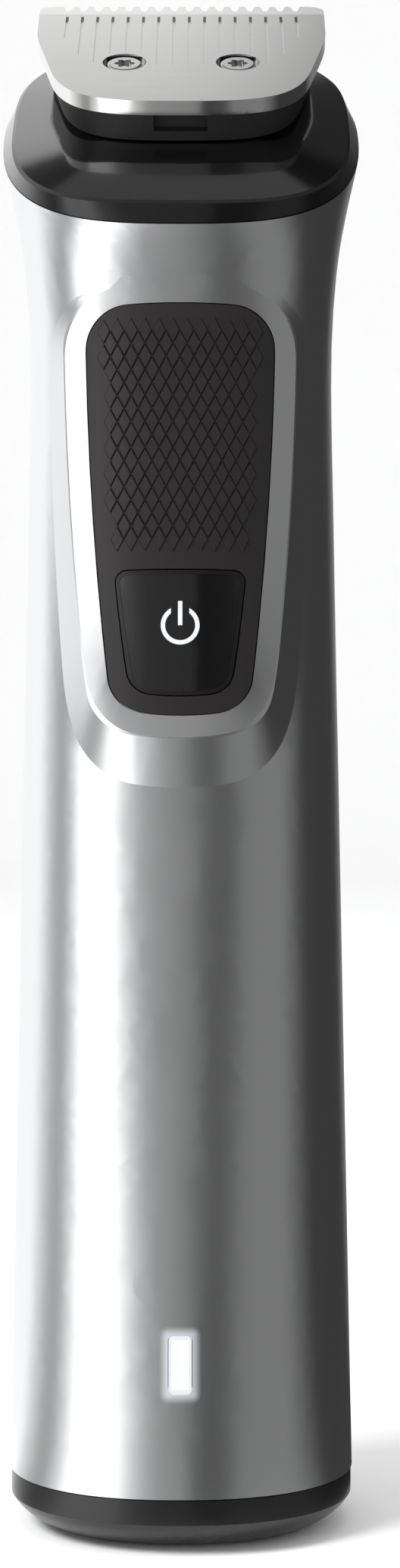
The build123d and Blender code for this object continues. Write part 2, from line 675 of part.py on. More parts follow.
def make_cam():
    low = cam_top - cam_height
    cam = pillar(cam_radius, low, cam_top) - pillar(shaft_radius, low - 1, cam_top - 1.2)
    cam -= pillar(drive_pin_radius, cam_top - 1.1, cam_top + 1, drive_pin_throw)
    cam -= block(-4, 4, 1.6, 4, cam_top - 1.4, cam_top + 1)
    return single(cam)


def make_drive_pin():
    pin = pillar(drive_pin_radius, cam_top - 1.1, pin_top, drive_pin_throw)
    return chamfer(pin.edges().sort_by(Axis.Z)[-1], 0.15)


def make_motor_screws():
    screws = []
    top = motor_front + bulkhead_height
    for x in (-5, 5):
        screw = pillar(1.3, top, top + 0.9, x) + pillar(0.7, top - 3.0, top, x)
        screw -= block(x - 1.0, x + 1.0, -0.15, 0.15, top + 0.5, top + 2)
        screws.append(single(screw))
    return Compound(screws)


# ---------------------------------------------------------------- chassis, battery and board
def make_chassis():
    w, front, back = chassis_half_width, board_back, chassis_back
    inner = back - chassis_plate
    frame = block(-w, w, inner, back, chassis_bottom, motor_front + bulkhead_height)
    head_plate = rounded_block(-w - 0.5, w + 0.5, -8.6, back, motor_front, motor_front + bulkhead_height, 2.4)
    frame += head_plate
    frame -= pillar(motor_boss_radius + 0.1, motor_front - 1, motor_front + 5)
    for x in (-5, 5):
        frame -= pillar(0.7, motor_front - 1, motor_front + 5, x)
    for low in (lower_shelf, upper_shelf):
        frame += block(-w, w, front, back, low, low + shelf_height)
    frame += mirrored(block(w - 1.2, w, front, back, lower_shelf, upper_shelf + shelf_height))
    z0 = board_bottom + 1.5
    frame += mirrored(block(w - 3.4, w, front, back, z0, z0 + 5.0))
    span = upper_shelf - lower_shelf - shelf_height
    for i in range(3):
        low = lower_shelf + shelf_height + span * (0.1 + 0.3 * i)
        frame -= block(-big, big, -4.5, 4.5, low, low + span * 0.2)
    low, high = screw_post_heights()
    for z in (low, high):
        frame -= peg(0.95, 0, 12, 0, z)
    for x, z in board_screw_spots():
        frame -= peg(0.5, front - 1, front + 4.2, x, z)
    frame -= block(-6, 6, inner - 1, back + 1, lower_shelf + shelf_height + 8, upper_shelf - 8)
    return single(frame)


def board_screw_spots():
    low, high = board_bottom + 4.0, upper_shelf + shelf_height / 2
    return [(x, z) for z in (low, high) for x in (-board_half_width + 1.6, board_half_width - 1.6)]


def make_chassis_screws():
    screws = []
    inner = chassis_back - chassis_plate
    for z in screw_post_heights():
        screw = peg(1.7, inner - 0.9, inner, 0, z) + peg(0.9, inner, chassis_back + 3.4, 0, z)
        screw -= block(-1.3, 1.3, inner - 2, inner - 0.5, z - 0.2, z + 0.2)
        screw -= block(-0.2, 0.2, inner - 2, inner - 0.5, z - 1.3, z + 1.3)
        screws.append(single(screw))
    return Compound(screws)


def make_battery():
    cell = pillar(battery_radius, battery_bottom, battery_top - 1.0, 0, battery_back)
    cell = fillet(cell.edges().filter_by(GeomType.CIRCLE), 0.5)
    return single(cell + pillar(2.75, battery_top - 1.2, battery_top, 0, battery_back))


def make_battery_sleeve_ring():
    ring = pillar(battery_radius - 0.6, battery_top - 1.0, battery_top - 0.7, 0, battery_back)
    return single(ring - pillar(3.2, battery_top - 3, battery_top + 3, 0, battery_back))


def make_tab(z):
    return block(-tab_half_width, tab_half_width, board_back, 4.0, z, z + tab_thickness)


def make_cushion():
    return block(-5, 5, -4, 5, upper_shelf - cushion_thickness, upper_shelf)


def make_board():
    board = block(-board_half_width, board_half_width, board_face, board_back, board_bottom, board_top)
    for x, z in board_screw_spots():
        board -= peg(0.6, board_face - 1, board_back + 1, x, z)
    return single(board)


def make_board_screws():
    screws = []
    for x, z in board_screw_spots():
        screw = peg(1.1, board_face - 0.45, board_face, x, z) + peg(0.5, board_face, board_back + 4.0, x, z)
        screw -= block(x - 0.8, x + 0.8, board_face - 2, board_face - 0.2, z - 0.15, z + 0.15)
        screws.append(single(screw))
    return Compound(screws)


def make_switch():
    z = button_middle
    body = block(-3, 3, board_face - 1.6, board_face, z - 3, z + 3)
    body -= peg(1.7, board_face - 2.6, board_face - 0.5, 0, z)
    return single(body)


def make_plunger():
    return peg(1.55, board_face - 2.1, board_face - 1.05, 0, button_middle)


def make_status_led():
    led = block(-0.8, 0.8, board_face - 0.7, board_face, light_height - 1.2, light_height + 1.2)
    return led


def make_controller():
    z = (board_bottom + board_top) / 2
    chip = block(-3.5, 3.5, board_face - 1.0, board_face - 0.1, z - 3.5, z + 3.5)
    for i in range(7):
        step = (i - 3) * 0.95
        chip += block(-4.4, 4.4, board_face - 0.25, board_face, z + step - 0.2, z + step + 0.2)
        chip += block(step - 0.2, step + 0.2, board_face - 0.25, board_face, z - 4.4, z + 4.4)
    return single(chip)


def make_capacitors():
    z = (board_bottom + board_top) / 2 - 12
    caps = [peg(1.9, board_face - 2.6, board_face, x, z) for x in (-4.5, 4.5)]
    return Compound(caps)


def make_small_parts():
    parts = []
    base = (board_bottom + board_top) / 2
    for i in range(4):
        for x in (-7.0, 7.0):
            z = base + 7 + 2.2 * i
            parts.append(block(x - 0.9, x + 0.9, board_face - 0.5, board_face, z - 0.45, z + 0.45))
    return Compound(parts)


def make_motor_leads():
    z = board_top - 1.0
    leads = []
    for x in (-6, 6):
        leads.append(single(wire_run([(x, -1.9, motor_bottom - 1.2), (x, -6.5, motor_bottom - 1.4),
                                      (x, board_back + 0.4, z)], 0.4)))
    return Compound(leads)


def make_charge_leads():
    top = inlet_depth - 4.0 + contact_length
    leads = []
    for s in (-1, 1):
        x = s * contact_spacing / 2
        leads.append(single(wire_run([(x, 0, top + 0.4), (x, -5.0, top + 1.2),
                                      (x, board_back + 0.4, board_bottom + 2.0)], 0.4)))
    return Compound(leads)


# ---------------------------------------------------------------- assembly
def make_parts():
    parts = {}
    parts["front_shell"], parts["rear_shell"] = make_shells()
    parts["grip_panel"] = make_grip_panel()
    parts["light_window"] = make_light_window()
    parts["power_button"], parts["button_window"], parts["power_icon"] = make_button()
    parts["base_cap"] = make_base_cap()
    parts["charging_socket"] = make_charging_socket()
    parts["charge_contacts"] = make_contacts()
    parts["collar"] = make_collar()
    parts["drive_seal"] = make_drive_seal()
    parts["guard_blade"] = make_guard_blade()
    parts["blade_screws"] = make_blade_screws()
    parts["head_holder"] = make_head_holder()
    parts["pressure_spring"] = make_pressure_spring()
    parts["cutter_blade"] = make_cutter_blade()
    parts["cutter_carrier"] = make_cutter_carrier()
    parts["motor_can"] = make_motor_can()
    parts["motor_end_cap"] = make_end_cap()
    parts["motor_terminals"] = make_terminals()
    parts["motor_magnets"] = make_magnets()
    parts["motor_bearings"] = make_bearings()
    parts["motor_screws"] = make_motor_screws()
    parts["motor_shaft"] = make_shaft()
    parts["armature_core"] = make_armature()
    parts["armature_windings"] = make_windings()
    parts["commutator"] = make_commutator()
    parts["eccentric_cam"] = make_cam()
    parts["drive_pin"] = make_drive_pin()
    parts["chassis"] = make_chassis()
    parts["chassis_screws"] = make_chassis_screws()
    parts["battery_cell"] = make_battery()
    parts["battery_washer"] = make_battery_sleeve_ring()
    parts["battery_top_tab"] = make_tab(battery_top)
    parts["battery_bottom_tab"] = make_tab(battery_bottom - tab_thickness)
    parts["battery_cushion"] = make_cushion()
    parts["circuit_board"] = make_board()
    parts["board_screws"] = make_board_screws()
    parts["tact_switch"] = make_switch()
    parts["switch_plunger"] = make_plunger()
    parts["status_led"] = make_status_led()
    parts["controller_chip"] = make_controller()
    parts["capacitors"] = make_capacitors()
    parts["small_parts"] = make_small_parts()
    parts["motor_leads"] = make_motor_leads()
    parts["charge_leads"] = make_charge_leads()
    return parts


if __name__ == "__main__":
    os.makedirs("parts", exist_ok=True)
    for name, shape in make_parts().items():
        export_step(shape, "parts/" + name + ".step")
        print(name, len(shape.solids()), round(shape.volume, 1), shape.is_valid)
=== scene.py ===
import bpy
import bmesh
import math
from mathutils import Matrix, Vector


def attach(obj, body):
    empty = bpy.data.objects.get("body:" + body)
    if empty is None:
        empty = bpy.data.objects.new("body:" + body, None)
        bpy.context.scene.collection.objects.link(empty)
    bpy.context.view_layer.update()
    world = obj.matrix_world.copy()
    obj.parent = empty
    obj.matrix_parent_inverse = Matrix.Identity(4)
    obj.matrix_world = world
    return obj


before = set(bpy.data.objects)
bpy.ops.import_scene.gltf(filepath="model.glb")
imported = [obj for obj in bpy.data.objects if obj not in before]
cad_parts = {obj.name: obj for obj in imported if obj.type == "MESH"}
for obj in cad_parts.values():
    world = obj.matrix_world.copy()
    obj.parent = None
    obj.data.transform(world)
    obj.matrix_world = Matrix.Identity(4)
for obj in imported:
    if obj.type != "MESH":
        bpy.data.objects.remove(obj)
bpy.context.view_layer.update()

scene = bpy.context.scene
print("frame loaded:", len(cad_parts), "nodes")


# shader helpers

class Wire:
    # a node socket that takes part in arithmetic
    def __init__(self, finish, socket):
        self.finish = finish
        self.socket = socket

    def __add__(self, other): return self.finish.maths("ADD", self, other)
    def __radd__(self, other): return self.finish.maths("ADD", other, self)
    def __sub__(self, other): return self.finish.maths("SUBTRACT", self, other)
    def __rsub__(self, other): return self.finish.maths("SUBTRACT", other, self)
    def __mul__(self, other): return self.finish.maths("MULTIPLY", self, other)
    def __rmul__(self, other): return self.finish.maths("MULTIPLY", other, self)
    def __truediv__(self, other): return self.finish.maths("DIVIDE", self, other)
    def __lt__(self, other): return self.finish.maths("LESS_THAN", self, other)


class Finish:
    # one material: a Principled shader whose even values are set on its own sockets
    def __init__(self, name, values):
        self.material = bpy.data.materials.new(name)
        self.material.use_nodes = True
        self.tree = self.material.node_tree
        self.tree.nodes.clear()
        self.shader = self.tree.nodes.new("ShaderNodeBsdfPrincipled")
        self.exit = self.tree.nodes.new("ShaderNodeOutputMaterial")
        self.tree.links.new(self.shader.outputs[0], self.exit.inputs["Surface"])
        for socket, value in values.items():
            colour = isinstance(value, tuple)
            self.shader.inputs[socket].default_value = (*value, 1) if colour else value

    def add(self, kind, settings=None, inputs=None, output=0):
        node = self.tree.nodes.new(kind)
        for key, value in (settings or {}).items():
            if key == "stops":
                ramp = node.color_ramp
                while len(ramp.elements) < len(value):
                    ramp.elements.new(0.5)
                for element, (place, shade) in zip(ramp.elements, value):
                    element.position = place
                    element.color = (shade, shade, shade, 1)
            else:
                setattr(node, key, value)
        for key, value in (inputs or {}).items():
            if isinstance(value, Wire):
                self.tree.links.new(value.socket, node.inputs[key])
            else:
                node.inputs[key].default_value = value
        return Wire(self, node.outputs[output])

    def maths(self, operation, *values):
        return self.add("ShaderNodeMath", {"operation": operation}, dict(enumerate(values)))

    def smooth(self, value, low, high):
        return self.add("ShaderNodeMapRange", {"interpolation_type": "SMOOTHSTEP"},
                        {"Value": value, "From Min": low, "From Max": high})

    def place(self):
        # object coordinates, metres
        spot = self.add("ShaderNodeTexCoord", output="Object")
        return spot, [self.add("ShaderNodeSeparateXYZ", inputs={0: spot}, output=i) for i in range(3)]

    def noise(self, scale, detail=2.0, rough=0.5, stretch=(1, 1, 1)):
        spot = self.add("ShaderNodeTexCoord", output="Object")
        spot = self.add("ShaderNodeMapping", inputs={"Vector": spot, "Scale": stretch})
        return self.add("ShaderNodeTexNoise", inputs={"Vector": spot, "Scale": scale, "Detail": detail,
                                                      "Roughness": rough})

    def mixed(self, share, first, second):
        return self.add("ShaderNodeMix", {"data_type": "RGBA"},
                        {"Factor": share, 6: self.shade(first), 7: self.shade(second)}, output=2)

    def shade(self, value):
        return value if isinstance(value, Wire) else (*value, 1)

    def drive(self, socket, value):
        self.tree.links.new(value.socket, self.shader.inputs[socket])

    def bump(self, height, distance, strength=1.0, under=None):
        inputs = {"Height": height, "Distance": distance, "Strength": strength}
        if under:
            inputs["Normal"] = under
        return self.add("ShaderNodeBump", inputs=inputs)


def paint(finish, *nodes):
    for name in nodes:
        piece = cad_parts[name]
        if not piece.material_slots:
            piece.data.materials.append(finish.material)
        for holder in piece.material_slots:
            holder.material = finish.material


# finishes

def silverLacquer():
    look = {"tone": (0.74, 0.745, 0.755), "darkFlake": 0.96, "rough": 0.25, "roughSpread": 0.03,
            "flake": 26000.0, "flakeDepth": 0.000001, "cloud": 45.0, "seam": 0.00006, "seamSoft": 2.2,
            "seamDepth": 0.0001, "seamTone": (0.05, 0.05, 0.05), "lampHalfWidth": 0.0012,
            "lampHalfLength": 0.003, "lampHeight": 0.02, "paintedGlow": 0.0011, "paintedGlowTone": (0.4, 0.42, 0.45)}
    f = Finish("silverLacquer", {"Metallic": 1.0, "Coat Weight": 0.25, "Coat Roughness": 0.12,
                                 "Emission Strength": 1.0})
    spot, (x, y, z) = f.place()
    flake = f.add("ShaderNodeTexVoronoi", inputs={"Vector": spot, "Scale": look["flake"]},
                  output="Color")
    glint = f.add("ShaderNodeSeparateColor", inputs={0: flake}, output=0)
    cloud = f.noise(look["cloud"], 3.0)
    seam = f.smooth(f.maths("ABSOLUTE", y), look["seam"], look["seam"] * look["seamSoft"])
    dark = tuple(look["darkFlake"] * c for c in look["tone"])
    tone = f.mixed(glint, dark, look["tone"])
    f.drive("Base Color", f.mixed(seam, look["seamTone"], tone))
    spread = look["roughSpread"]
    f.drive("Roughness", look["rough"] + (cloud - 0.5) * spread + (glint - 0.5) * spread)
    grain = f.bump(glint, look["flakeDepth"], 0.35)
    f.drive("Normal", f.bump(seam, look["seamDepth"], 0.8, grain))
    # painted glow: emission on the lacquer round the charge light, painted in place of the light it
    # spills
    aside = f.maths("MAXIMUM", f.maths("ABSOLUTE", x) - look["lampHalfWidth"], 0.0)
    along = f.maths("ABSOLUTE", z - look["lampHeight"])
    along = f.maths("MAXIMUM", along - look["lampHalfLength"], 0.0)
    away = f.maths("SQRT", aside * aside + along * along)
    paintedGlow = (1 - f.smooth(away, 0.0, look["paintedGlow"])) * (y < 0.0)
    # the painted glow is fed to the lacquer's emission
    f.drive("Emission Color", f.mixed(paintedGlow, (0.0, 0.0, 0.0), look["paintedGlowTone"]))
    return f


def satinBlack(name, tone, rough, grain=5200.0):
    look = {"cloud": 70.0, "dark": 0.85, "light": 1.15, "roughSpread": 0.08, "depth": 0.000012,
            "bump": 0.6}
    f = Finish(name, {"IOR": 1.5})
    cloud = f.noise(look["cloud"], 3.0)
    fine = f.noise(grain, 2.0)
    f.drive("Base Color", f.mixed(cloud, tuple(look["dark"] * c for c in tone),
                                  tuple(look["light"] * c for c in tone)))
    f.drive("Roughness", rough + (cloud - 0.5) * look["roughSpread"])
    f.drive("Normal", f.bump(fine, look["depth"], look["bump"]))
    return f


def pianoBlack(name, coatRough, coatIor):
    look = {"dark": (0.002, 0.002, 0.0021), "light": (0.0035, 0.0035, 0.0038), "cloud": 38.0,
            "wave": 160.0, "rough": 0.16, "roughSpread": 0.05, "depth": 0.000004, "bump": 0.2}
    f = Finish(name, {"Coat Weight": 1.0, "Coat Roughness": coatRough, "Coat IOR": coatIor, "IOR": 1.3})
    cloud = f.noise(look["cloud"], 3.0)
    wave = f.noise(look["wave"], 1.0)
    f.drive("Base Color", f.mixed(cloud, look["dark"], look["light"]))
    f.drive("Roughness", look["rough"] + (cloud - 0.5) * look["roughSpread"])
    f.drive("Normal", f.bump(wave, look["depth"], look["bump"]))
    return f


def gripRubber():
    # soft dark rubber
    look = {"dark": (0.011, 0.0095, 0.0095), "light": (0.015, 0.013, 0.013), "cloud": 60.0,
            "grain": 4200.0, "rough": 0.42, "roughSpread": 0.06, "depth": 0.000008, "bump": 0.4}
    f = Finish("gripRubber", {"IOR": 1.45})
    cloud = f.noise(look["cloud"], 3.0)
    fine = f.noise(look["grain"], 2.0)
    f.drive("Base Color", f.mixed(cloud, look["dark"], look["light"]))
    f.drive("Roughness", look["rough"] + (cloud - 0.5) * look["roughSpread"])
    f.drive("Normal", f.bump(fine, look["depth"], look["bump"]))
    return f


def groundBlade():
    # the flat of the blade is ground across, its edge is polished
    look = {"tone": (0.72, 0.72, 0.715), "darkLine": 0.93, "rough": 0.27, "edge": 0.09,
            "lean": (0.0, -0.6018, 0.7986), "edgeStart": 0.9, "edgeEnd": 0.96, "lines": 2600.0,
            "stretch": (0.03, 1, 1), "cloud": 60.0, "roughSpread": 0.03, "depth": 0.000003, "bump": 0.4}
    f = Finish("bladeSteel", {"Metallic": 1.0})
    facing = f.add("ShaderNodeTexCoord", output="Normal")
    flat = f.add("ShaderNodeVectorMath", {"operation": "DOT_PRODUCT"}, {0: facing, 1: look["lean"]},
                 output="Value")
    flat = f.smooth(flat, look["edgeStart"], look["edgeEnd"])
    lines = f.noise(look["lines"], 2.0, 0.6, look["stretch"])
    cloud = f.noise(look["cloud"], 3.0)
    dark = tuple(look["darkLine"] * c for c in look["tone"])
    f.drive("Base Color", f.mixed(lines, dark, look["tone"]))
    rough = look["edge"] + flat * (look["rough"] - look["edge"])
    f.drive("Roughness", rough + (cloud - 0.5) * look["roughSpread"])
    f.drive("Normal", f.bump(lines * flat, look["depth"], look["bump"]))
    return f


def groundSteel(name, tone, rough):
    # fine grinding lines that run across the blade
    look = {"lines": 2600.0, "stretch": (0.03, 1, 1), "cloud": 60.0, "dark": 0.9, "lineSpread": 0.08,
            "cloudSpread": 0.04, "depth": 0.000004, "bump": 0.5}
    f = Finish(name, {"Metallic": 1.0})
    lines = f.noise(look["lines"], 2.0, 0.6, look["stretch"])
    cloud = f.noise(look["cloud"], 3.0)
    f.drive("Base Color", f.mixed(lines, tuple(look["dark"] * c for c in tone), tone))
    f.drive("Roughness",
            rough + (lines - 0.5) * look["lineSpread"] + (cloud - 0.5) * look["cloudSpread"])
    f.drive("Normal", f.bump(lines, look["depth"], look["bump"]))
    return f


def plainFinish(name, tone, rough, metal=0.0, grain=1800.0, depth=0.00001):
    look = {"cloud": 120.0, "dark": 0.85, "roughSpread": 0.1, "bump": 0.5}
    f = Finish(name, {"Metallic": metal})
    cloud = f.noise(look["cloud"], 3.0)
    fine = f.noise(grain, 2.0)
    f.drive("Base Color", f.mixed(cloud, tuple(look["dark"] * c for c in tone), tone))
    f.drive("Roughness", rough + (cloud - 0.5) * look["roughSpread"])
    f.drive("Normal", f.bump(fine, depth, look["bump"]))
    return f


def litWindow():
    look = {"height": 0.02, "halfWidth": 0.00095, "halfLength": 0.0026, "soft": 0.0003,
            "glow": (1.0, 1.0, 1.0), "rimGlow": (0.12, 0.125, 0.13), "grain": 900.0, "depth": 0.00001,
            "bump": 0.3}
    f = Finish("litWindow", {"Base Color": (0.5, 0.51, 0.53), "Roughness": 0.2,
                             "Emission Strength": 1.0})
    x, y, z = f.place()[1]
    aside = f.smooth(f.maths("ABSOLUTE", x), look["halfWidth"] - look["soft"], look["halfWidth"])
    along = f.smooth(f.maths("ABSOLUTE", z - look["height"]), look["halfLength"] - look["soft"],
                     look["halfLength"])
    rim = f.maths("MAXIMUM", aside, along)
    f.drive("Emission Color", f.mixed(rim, look["glow"], look["rimGlow"]))
    f.drive("Normal", f.bump(f.noise(look["grain"]), look["depth"], look["bump"]))
    return f


paint(silverLacquer(), "front_shell", "rear_shell")
paint(satinBlack("baseSatin", (0.006, 0.006, 0.0065), 0.27), "base_cap")
paint(satinBlack("buttonSatin", (0.004, 0.004, 0.004), 0.3), "power_button")
paint(satinBlack("holderSatin", (0.014, 0.014, 0.0145), 0.36), "head_holder")
paint(satinBlack("socketBlack", (0.014, 0.014, 0.014), 0.45), "charging_socket")
paint(pianoBlack("collarGloss", 0.05, 1.42), "collar")
paint(pianoBlack("buttonGloss", 0.03, 1.55), "button_window")
paint(gripRubber(), "grip_panel")
paint(groundBlade(), "guard_blade")
paint(groundSteel("cutterSteel", (0.66, 0.66, 0.66), 0.25), "cutter_blade")
paint(groundSteel("screwSteel", (0.62, 0.62, 0.62), 0.24), "blade_screws")
paint(plainFinish("iconWhite", (0.66, 0.67, 0.69), 0.35), "power_icon")
paint(litWindow(), "light_window")
print("visible finishes done")

for name, finish in {
    "charge_contacts": plainFinish("goldPlate", (0.85, 0.62, 0.25), 0.25, 1.0),
    "drive_seal": plainFinish("sealRubber", (0.02, 0.02, 0.02), 0.6),
    "pressure_spring": plainFinish("springWire", (0.5, 0.5, 0.5), 0.3, 1.0),
    "cutter_carrier": plainFinish("carrierAcetal", (0.8, 0.8, 0.77), 0.4),
    "motor_can": plainFinish("zincPlate", (0.55, 0.56, 0.58), 0.35, 1.0),
    "motor_end_cap": plainFinish("endCapNylon", (0.8, 0.8, 0.77), 0.45),
    "motor_terminals": plainFinish("tagBrass", (0.75, 0.55, 0.25), 0.35, 1.0),
    "motor_magnets": plainFinish("ferrite", (0.08, 0.08, 0.085), 0.6),
    "motor_bearings": plainFinish("bronze", (0.55, 0.35, 0.16), 0.4, 1.0),
    "motor_screws": plainFinish("screwZinc", (0.6, 0.6, 0.62), 0.3, 1.0),
    "motor_shaft": plainFinish("shaftSteel", (0.6, 0.6, 0.61), 0.2, 1.0),
    "armature_core": plainFinish("lamination", (0.3, 0.3, 0.32), 0.45, 1.0, 6000.0),
    "armature_windings": plainFinish("enamelledCopper", (0.6, 0.22, 0.08), 0.35, 1.0, 3000.0, 0.00004),
    "commutator": plainFinish("bareCopper", (0.7, 0.35, 0.2), 0.35, 1.0),
    "eccentric_cam": plainFinish("camAcetal", (0.75, 0.77, 0.8), 0.4),
    "drive_pin": plainFinish("pinSteel", (0.65, 0.65, 0.66), 0.2, 1.0),
    "chassis": plainFinish("chassisNylon", (0.22, 0.23, 0.24), 0.5),
    "chassis_screws": plainFinish("chassisScrewZinc", (0.6, 0.6, 0.62), 0.3, 1.0),
    "battery_cell": plainFinish("cellSleeve", (0.05, 0.16, 0.36), 0.3),
    "battery_washer": plainFinish("washerCard", (0.8, 0.8, 0.78), 0.7),
    "battery_top_tab": plainFinish("nickelStrip", (0.62, 0.6, 0.56), 0.3, 1.0),
    "battery_bottom_tab": plainFinish("nickelStripLower", (0.62, 0.6, 0.56), 0.3, 1.0),
    "battery_cushion": plainFinish("foam", (0.05, 0.05, 0.05), 0.9, 0.0, 2500.0, 0.0001),
    "circuit_board": plainFinish("solderMask", (0.01, 0.12, 0.05), 0.35),
    "board_screws": plainFinish("boardScrewZinc", (0.6, 0.6, 0.62), 0.3, 1.0),
    "tact_switch": plainFinish("switchBlack", (0.03, 0.03, 0.03), 0.45),
    "switch_plunger": plainFinish("plungerAcetal", (0.75, 0.75, 0.72), 0.4),
    "status_led": plainFinish("ledLens", (0.9, 0.85, 0.65), 0.25),
    "controller_chip": plainFinish("chipEpoxy", (0.02, 0.02, 0.02), 0.5),
    "capacitors": plainFinish("capacitorSleeve", (0.05, 0.05, 0.08), 0.35),
    "small_parts": plainFinish("ceramicTan", (0.5, 0.38, 0.24), 0.5),
    "motor_leads": plainFinish("leadRed", (0.5, 0.03, 0.02), 0.4),
    "charge_leads": plainFinish("leadRedLower", (0.5, 0.03, 0.02), 0.4),
}.items():
    paint(finish, name)
print("inner finishes done")


# diamonds on the grip panel

def makeDiamonds():
    # a field of low diamonds with fine V grooves between them, laid on the panel's curved face
    size = {"width": 0.00145, "height": 0.00272, "groove": 0.085, "proud": 0.00015, "buried": 0.00012,
            "bottom": 0.1036, "top": 0.1288, "halfBottom": 0.0078, "halfTop": 0.0089, "middle": 0.1162,
            "slack": 0.0001, "grooveFloor": 0.00001, "lookFrom": -0.05, "reach": 24}
    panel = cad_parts["grip_panel"]
    unplace = panel.matrix_world.inverted()
    cuts = (0.0, size["groove"], 1 - size["groove"])
    forward = (unplace.to_3x3() @ Vector((0, 1, 0))).normalized()
    span = range(-size["reach"], size["reach"])
    points = {}

    def stand(u, v):
        # the panel's face under lattice place (u, v), found by looking at it from the front
        x = (u - v) * size["width"] / 2
        z = size["middle"] + (u + v) * size["height"] / 2
        hit, place = panel.ray_cast(unplace @ Vector((x, size["lookFrom"], z)), forward)[:2]
        assert hit, "the diamonds run off the panel"
        return panel.matrix_world @ place

    def inside(u, v):
        for du, dv in ((0, 0), (1, 0), (0, 1), (1, 1)):
            x = (u + du - v - dv) * size["width"] / 2
            z = size["middle"] + (u + du + v + dv) * size["height"] / 2
            share = (z - size["bottom"]) / (size["top"] - size["bottom"])
            half = size["halfBottom"] + share * (size["halfTop"] - size["halfBottom"])
            if not (size["bottom"] - size["slack"] < z < size["top"] + size["slack"] and abs(x) < half):
                return False
        return True

    mesh = bmesh.new()

    def corner(i, j, buried):
        # i and j count the cuts of the lattice: every third one is the bottom of a groove
        key = (i, j, buried)
        if key not in points:
            place = stand(i // 3 + cuts[i % 3], j // 3 + cuts[j % 3])
            high = size["grooveFloor"] if i % 3 == 0 or j % 3 == 0 else size["proud"]
            points[key] = mesh.verts.new(place + Vector((0, size["buried"] if buried else -high, 0)))
        return points[key]

    def wall(a, b):
        mesh.faces.new((corner(*a, False), corner(*b, False), corner(*b, True), corner(*a, True)))

    cells = [(u, v) for u in span for v in span if inside(u, v)]
    for u, v in cells:
        for i in range(3 * u, 3 * u + 3):
            for j in range(3 * v, 3 * v + 3):
                ring = ((i, j), (i + 1, j), (i + 1, j + 1), (i, j + 1))
                mesh.faces.new([corner(*p, False) for p in ring])
                mesh.faces.new([corner(*p, True) for p in reversed(ring)])
        for n in range(3):
            i, j = 3 * u + n, 3 * v + n
            if (u, v - 1) not in cells:
                wall((i + 1, 3 * v), (i, 3 * v))
            if (u, v + 1) not in cells:
                wall((i, 3 * v + 3), (i + 1, 3 * v + 3))
            if (u - 1, v) not in cells:
                wall((3 * u, j), (3 * u, j + 1))
            if (u + 1, v) not in cells:
                wall((3 * u + 3, j + 1), (3 * u + 3, j))
    bmesh.ops.recalc_face_normals(mesh, faces=mesh.faces)
    data = bpy.data.meshes.new("grip_diamonds")
    mesh.to_mesh(data)
    mesh.free()
    piece = bpy.data.objects.new("grip_diamonds", data)
    scene.collection.objects.link(piece)
    data.materials.append(panel.material_slots[0].material)
    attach(piece, "handle")
    print("diamonds:", len(cells))


makeDiamonds()


# stage, lights and camera

def ringMesh(name, profile, steps=128):
    # a surface of revolution about Z through (radius, height) pairs
    mesh = bmesh.new()
    rows = []
    for radius, height in profile:
        row = []
        for i in range(steps):
            a = 2 * math.pi * i / steps
            row.append(mesh.verts.new((radius * math.cos(a), radius * math.sin(a), height)))
        rows.append(row)
    for lower, upper in zip(rows, rows[1:]):
        for i in range(steps):
            j = (i + 1) % steps
            mesh.faces.new((lower[i], lower[j], upper[j], upper[i]))
    for face in mesh.faces:
        face.smooth = True
    data = bpy.data.meshes.new(name)
    mesh.to_mesh(data)
    mesh.free()
    piece = bpy.data.objects.new(name, data)
    scene.collection.objects.link(piece)
    return piece


def makeFloor():
    size = {"flat": 1.9, "bend": 0.6, "height": 1.6, "dark": (0.93, 0.93, 0.935),
            "light": (0.96, 0.96, 0.96), "cloud": 6.0, "grain": 900.0, "depth": 0.00003, "bump": 0.2}
    profile = [(0.0001, 0), (0.05, 0), (0.2, 0), (0.6, 0), (size["flat"], 0)]
    for i in range(1, 13):
        a = math.pi / 2 * i / 12
        profile.append((size["flat"] + size["bend"] * math.sin(a), size["bend"] * (1 - math.cos(a))))
    profile.append((size["flat"] + size["bend"], size["height"]))
    floor = ringMesh("floor", profile)
    f = Finish("palePaper", {"Roughness": 0.7, "Specular IOR Level": 0.2})
    cloud = f.noise(size["cloud"], 4.0)
    f.drive("Base Color", f.mixed(cloud, size["dark"], size["light"]))
    f.drive("Normal", f.bump(f.noise(size["grain"], 3.0), size["depth"], size["bump"]))
    floor.data.materials.append(f.material)


